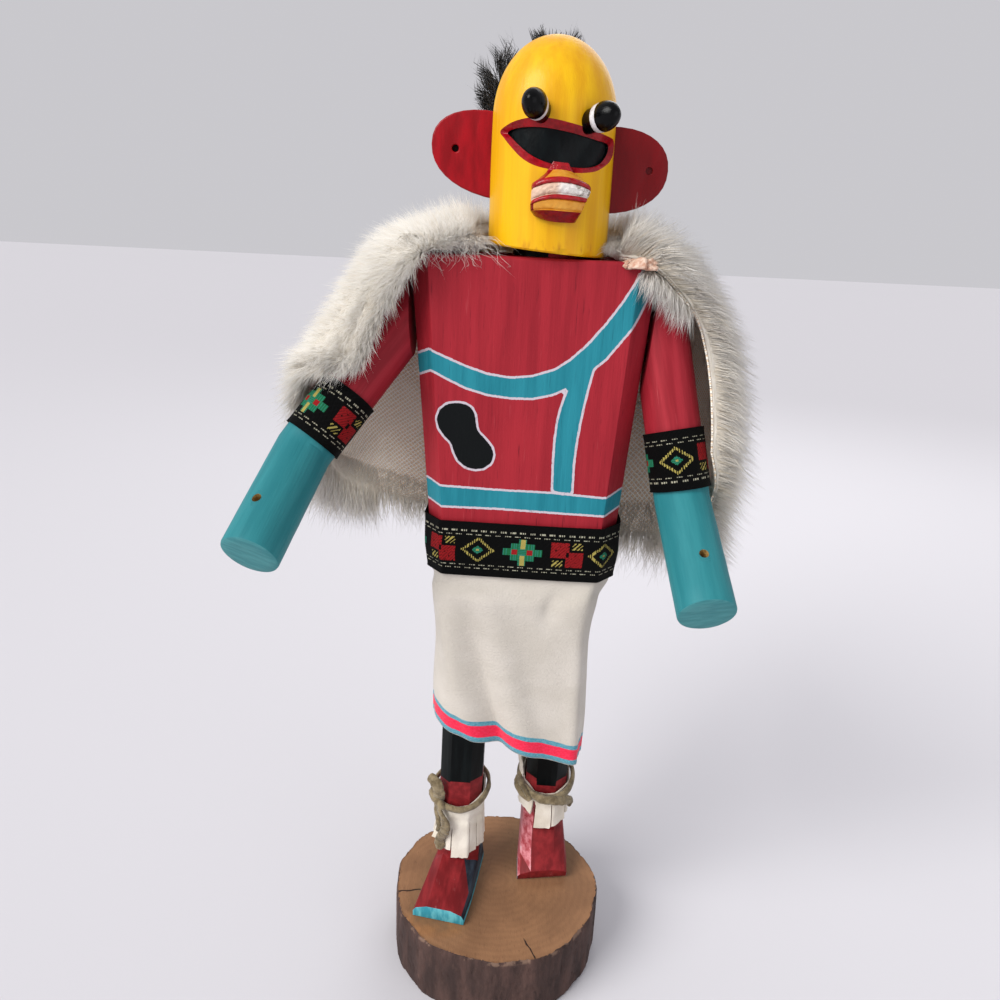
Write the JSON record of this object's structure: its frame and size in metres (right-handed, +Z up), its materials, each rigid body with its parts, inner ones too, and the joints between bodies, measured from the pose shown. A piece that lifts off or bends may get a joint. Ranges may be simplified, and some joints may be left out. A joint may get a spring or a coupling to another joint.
{
  "type": "kachina doll",
  "caption": "Carved and painted wooden kachina doll in a striding pose, with cloth kilt, woven belt and armbands, and white pile cape, on a round slice of log.",
  "frame": {"origin": "centre of the base's underside", "axes": "+Z up along the figure, the doll faces -Y, its right side is at -X"},
  "size_m": [0.1941, 0.1156, 0.407],
  "materials": {
    "bark_wood": "dry brown end grain with dark bark left on round the edge",
    "red_paint": "thin matt crimson paint over carved wood",
    "yellow_paint": "satin brushed yellow paint over wood",
    "gloss_red_paint": "glossy red paint over carved wood",
    "black_paint": "glossy black paint over wood",
    "woven_ribbon": "black jacquard ribbon with coloured motifs",
    "kilt_cloth": "off-white cotton with painted hem stripes",
    "white_pile": "long white pile on a knitted backing",
    "white_leather": "soft white leather cut into tabs",
    "tan_lace": "dull olive-tan lace",
    "black_down": "soft black down feathers"
  },
  "bodies": {
    "root": {"base": "bark_wood", "body": "red_paint", "head": "yellow_paint", "snout": "gloss_red_paint", "right_eye": "black_paint", "left_eye": "black_paint", "right_ear": "gloss_red_paint", "left_ear": "gloss_red_paint", "feathers": "black_down", "right_arm": "red_paint", "left_arm": "red_paint", "right_armband": "woven_ribbon", "left_armband": "woven_ribbon", "belt": "woven_ribbon", "kilt": "kilt_cloth", "cape": "white_pile", "right_cuff": "white_leather", "left_cuff": "white_leather", "right_lace": "tan_lace", "left_lace": "tan_lace"}
  },
  "joints": []
}
